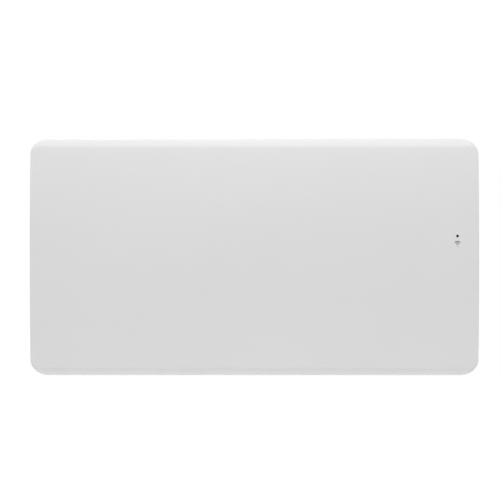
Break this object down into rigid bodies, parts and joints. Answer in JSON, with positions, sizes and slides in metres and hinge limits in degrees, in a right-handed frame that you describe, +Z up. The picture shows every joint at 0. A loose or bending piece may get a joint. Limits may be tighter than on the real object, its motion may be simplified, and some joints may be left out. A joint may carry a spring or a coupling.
{
  "type": "electric radiator",
  "caption": "Wall-hung horizontal electric radiator: plain bowed white front panel with rounded corners, top outlet grille and controls, finned heater, tilting wall bracket.",
  "frame": {"origin": "centre of the bracket's wall-fixing holes, on the wall plane", "axes": "+X along the radiator to the right seen from the front, +Y into the wall, +Z up; the front faces -Y"},
  "size_m": [1.09, 0.13, 0.58],
  "materials": {
    "panel_paint": "satin white powder coat",
    "casing_paint": "fine-textured white powder coat",
    "grille_plastic": "moulded white",
    "control_plastic": "moulded light grey",
    "key_plastic": "moulded white",
    "window_clear": "smoked clear window",
    "display_plastic": "black frame",
    "board": "green laminate",
    "component_plastic": "black moulded",
    "box_plastic": "grey moulded",
    "terminal_plastic": "natural moulded",
    "black_plastic": "black moulded",
    "rocker_plastic": "glossy black",
    "lens_plastic": "dark infrared window",
    "film": "amber laminate",
    "extruded_aluminium": "as extruded",
    "sheath_steel": "annealed sheath",
    "bush_ceramic": "unglazed",
    "galvanised": "galvanised sheet",
    "bracket_steel": "white painted sheet",
    "zinc": "bright zinc",
    "lead_insulation": "silicone insulation",
    "bumper_rubber": "matt"
  },
  "bodies": {
    "bracket": {"bracket_upright_left": "bracket_steel", "bracket_upright_right": "bracket_steel", "bracket_top_rail": "bracket_steel", "bracket_bottom_rail": "bracket_steel", "bracket_rivets": "zinc"},
    "radiator": {"back_screws": "zinc", "bottom_grille": "casing_paint", "cable_gland": "black_plastic", "catch_plates": "galvanised", "control_board": "board", "control_fascia": "control_plastic", "control_housing": "control_plastic", "control_ribbon": "lead_insulation", "display_module": "display_plastic", "display_window": "window_clear", "fascia_screws": "zinc", "film_leads": "lead_insulation", "front_heating_film": "film", "front_panel": "panel_paint", "gland_nut": "black_plastic", "hanger_screws": "zinc", "heat_shield": "galvanised", "heater_bushes": "bush_ceramic", "heater_lead_left": "lead_insulation", "heater_lead_right": "lead_insulation", "heater_rod": "sheath_steel", "heater_support_left": "galvanised", "heater_support_right": "galvanised", "heating_body": "extruded_aluminium", "key_switches": "component_plastic", "mains_leads": "lead_insulation", "pivot_pins": "zinc", "pivot_stirrups": "galvanised", "power_board": "board", "power_box": "box_plastic", "power_components": "component_plastic", "power_switch_body": "black_plastic", "probe_clip": "box_plastic", "probe_lead": "lead_insulation", "rear_casing": "casing_paint", "rim_screws": "zinc", "room_probe": "black_plastic", "sensor_board": "board", "sensor_holder": "component_plastic", "sensor_lead": "lead_insulation", "sensor_lens": "lens_plastic", "switch_lead": "lead_insulation", "terminal_block": "terminal_plastic", "thermal_cutout": "black_plastic", "top_grille": "grille_plastic", "wall_bumpers": "bumper_rubber"},
    "lock_left": {"bracket_lock_left": "zinc"},
    "lock_right": {"bracket_lock_right": "zinc"},
    "mode_key": {"key_mode": "key_plastic"},
    "minus_key": {"key_minus": "key_plastic"},
    "plus_key": {"key_plus": "key_plastic"},
    "menu_key": {"key_menu": "key_plastic"},
    "rocker": {"power_switch_rocker": "rocker_plastic"}
  },
  "joints": [
    {"name": "tilt", "type": "hinge", "parent": "bracket", "child": "radiator", "pos_m": [0, -0.0062, -0.2575], "axis": [1, 0, 0], "range_deg": [0, 20]},
    {"name": "lock_left_turn", "type": "hinge", "parent": "bracket", "child": "lock_left", "pos_m": [-0.3, -0.013, 0.2245], "axis": [0, 0, 1], "range_deg": [0, 90]},
    {"name": "lock_right_turn", "type": "hinge", "parent": "bracket", "child": "lock_right", "pos_m": [0.3, -0.013, 0.2245], "axis": [0, 0, 1], "range_deg": [0, 90]},
    {"name": "mode_press", "type": "slide", "parent": "radiator", "child": "mode_key", "axis": [0, 0, -1], "range_m": [0, 0.0008], "stiffness_N_per_m": 800},
    {"name": "minus_press", "type": "slide", "parent": "radiator", "child": "minus_key", "axis": [0, 0, -1], "range_m": [0, 0.0008], "stiffness_N_per_m": 800},
    {"name": "plus_press", "type": "slide", "parent": "radiator", "child": "plus_key", "axis": [0, 0, -1], "range_m": [0, 0.0008], "stiffness_N_per_m": 800},
    {"name": "menu_press", "type": "slide", "parent": "radiator", "child": "menu_key", "axis": [0, 0, -1], "range_m": [0, 0.0008], "stiffness_N_per_m": 800},
    {"name": "power_rock", "type": "hinge", "parent": "radiator", "child": "rocker", "pos_m": [0.528, -0.0525, 0.13], "axis": [0, 1, 0], "range_deg": [-20, 0]}
  ]
}
